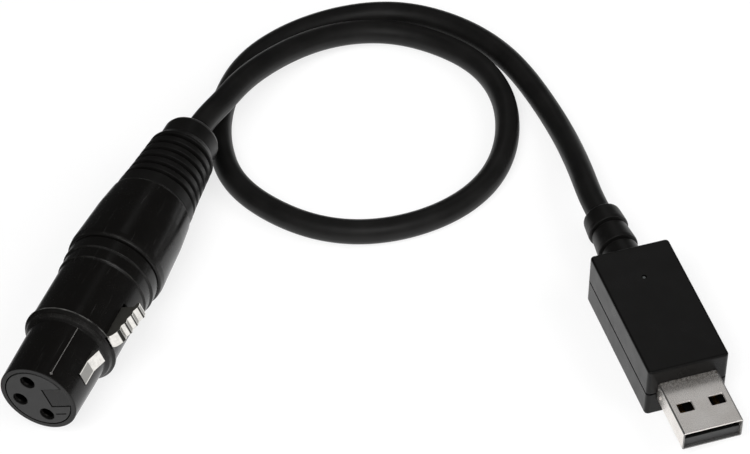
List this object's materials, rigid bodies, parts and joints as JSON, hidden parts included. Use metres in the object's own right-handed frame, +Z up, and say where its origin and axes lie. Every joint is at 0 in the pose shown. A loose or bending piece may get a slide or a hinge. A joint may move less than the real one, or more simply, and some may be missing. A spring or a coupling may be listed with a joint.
{
  "type": "usb dmx interface",
  "caption": "Adapter lead: a small flat housing with a flat computer plug and circuit board, a short free cord laid in a loop, and a round cable connector with contact sockets and a sprung latch.",
  "frame": {"origin": "middle of the plug housing's underside, on the surface that the part lies on", "axes": "-Y out of the flat plug, away from the housing; +Z up from the surface; +X to the right seen from behind the plug"},
  "size_m": [0.1332, 0.1383, 0.0201],
  "materials": {
    "housing_plastic": "black moulded plastic, satin, fine spark texture",
    "bright_nickel": "bright nickel plating",
    "tongue_plastic": "black moulded plastic",
    "gold_contact": "gold-plated contact metal",
    "board_laminate": "green solder mask on laminate",
    "chip_resin": "dark moulded resin",
    "ceramic": "light brown ceramic",
    "clear_lens": "clear moulded lens",
    "bare_copper": "bare twisted copper",
    "red_sleeve": "red wire insulation",
    "white_sleeve": "white wire insulation",
    "cord_jacket": "black matt cord jacket",
    "boot_rubber": "black matt moulded rubber",
    "black_coat": "black satin coating on cast metal",
    "insert_plastic": "dark grey moulded plastic",
    "spring_steel": "plain spring steel"
  },
  "bodies": {
    "interface": {"housing_top": "housing_plastic", "housing_bottom": "housing_plastic", "plug_shell": "bright_nickel", "plug_tongue": "tongue_plastic", "plug_contact_1": "gold_contact", "plug_contact_2": "gold_contact", "plug_contact_3": "gold_contact", "plug_contact_4": "gold_contact", "circuit_board": "board_laminate", "bridge_chip": "chip_resin", "line_driver_chip": "chip_resin", "crystal": "bright_nickel", "capacitor_1": "ceramic", "capacitor_2": "ceramic", "status_led": "clear_lens", "led_light_pipe": "clear_lens", "board_conductor_1": "bare_copper", "board_conductor_2": "red_sleeve", "board_conductor_3": "white_sleeve", "housing_jacket": "cord_jacket", "strain_boot": "boot_rubber", "cord": "cord_jacket", "connector_shell": "black_coat", "connector_insert": "insert_plastic", "contact_sleeve_1": "gold_contact", "contact_sleeve_2": "gold_contact", "contact_sleeve_3": "gold_contact", "latch_pin": "spring_steel", "latch_spring": "spring_steel", "connector_cap": "black_coat", "cord_chuck": "insert_plastic", "connector_boot": "boot_rubber", "connector_jacket": "cord_jacket", "connector_conductor_1": "red_sleeve", "connector_conductor_2": "bare_copper", "connector_conductor_3": "white_sleeve"},
    "latch": {"latch_lever": "bright_nickel"}
  },
  "joints": [
    {"name": "latch_press", "type": "hinge", "parent": "interface", "child": "latch", "pos_m": [-0.09507, 0.03393, 0.01316], "axis": [0.3206, -0.2502, -0.9135], "range_deg": [0, 4.2], "stiffness_Nm_per_rad": 0.3, "springref_deg": -2.86}
  ]
}
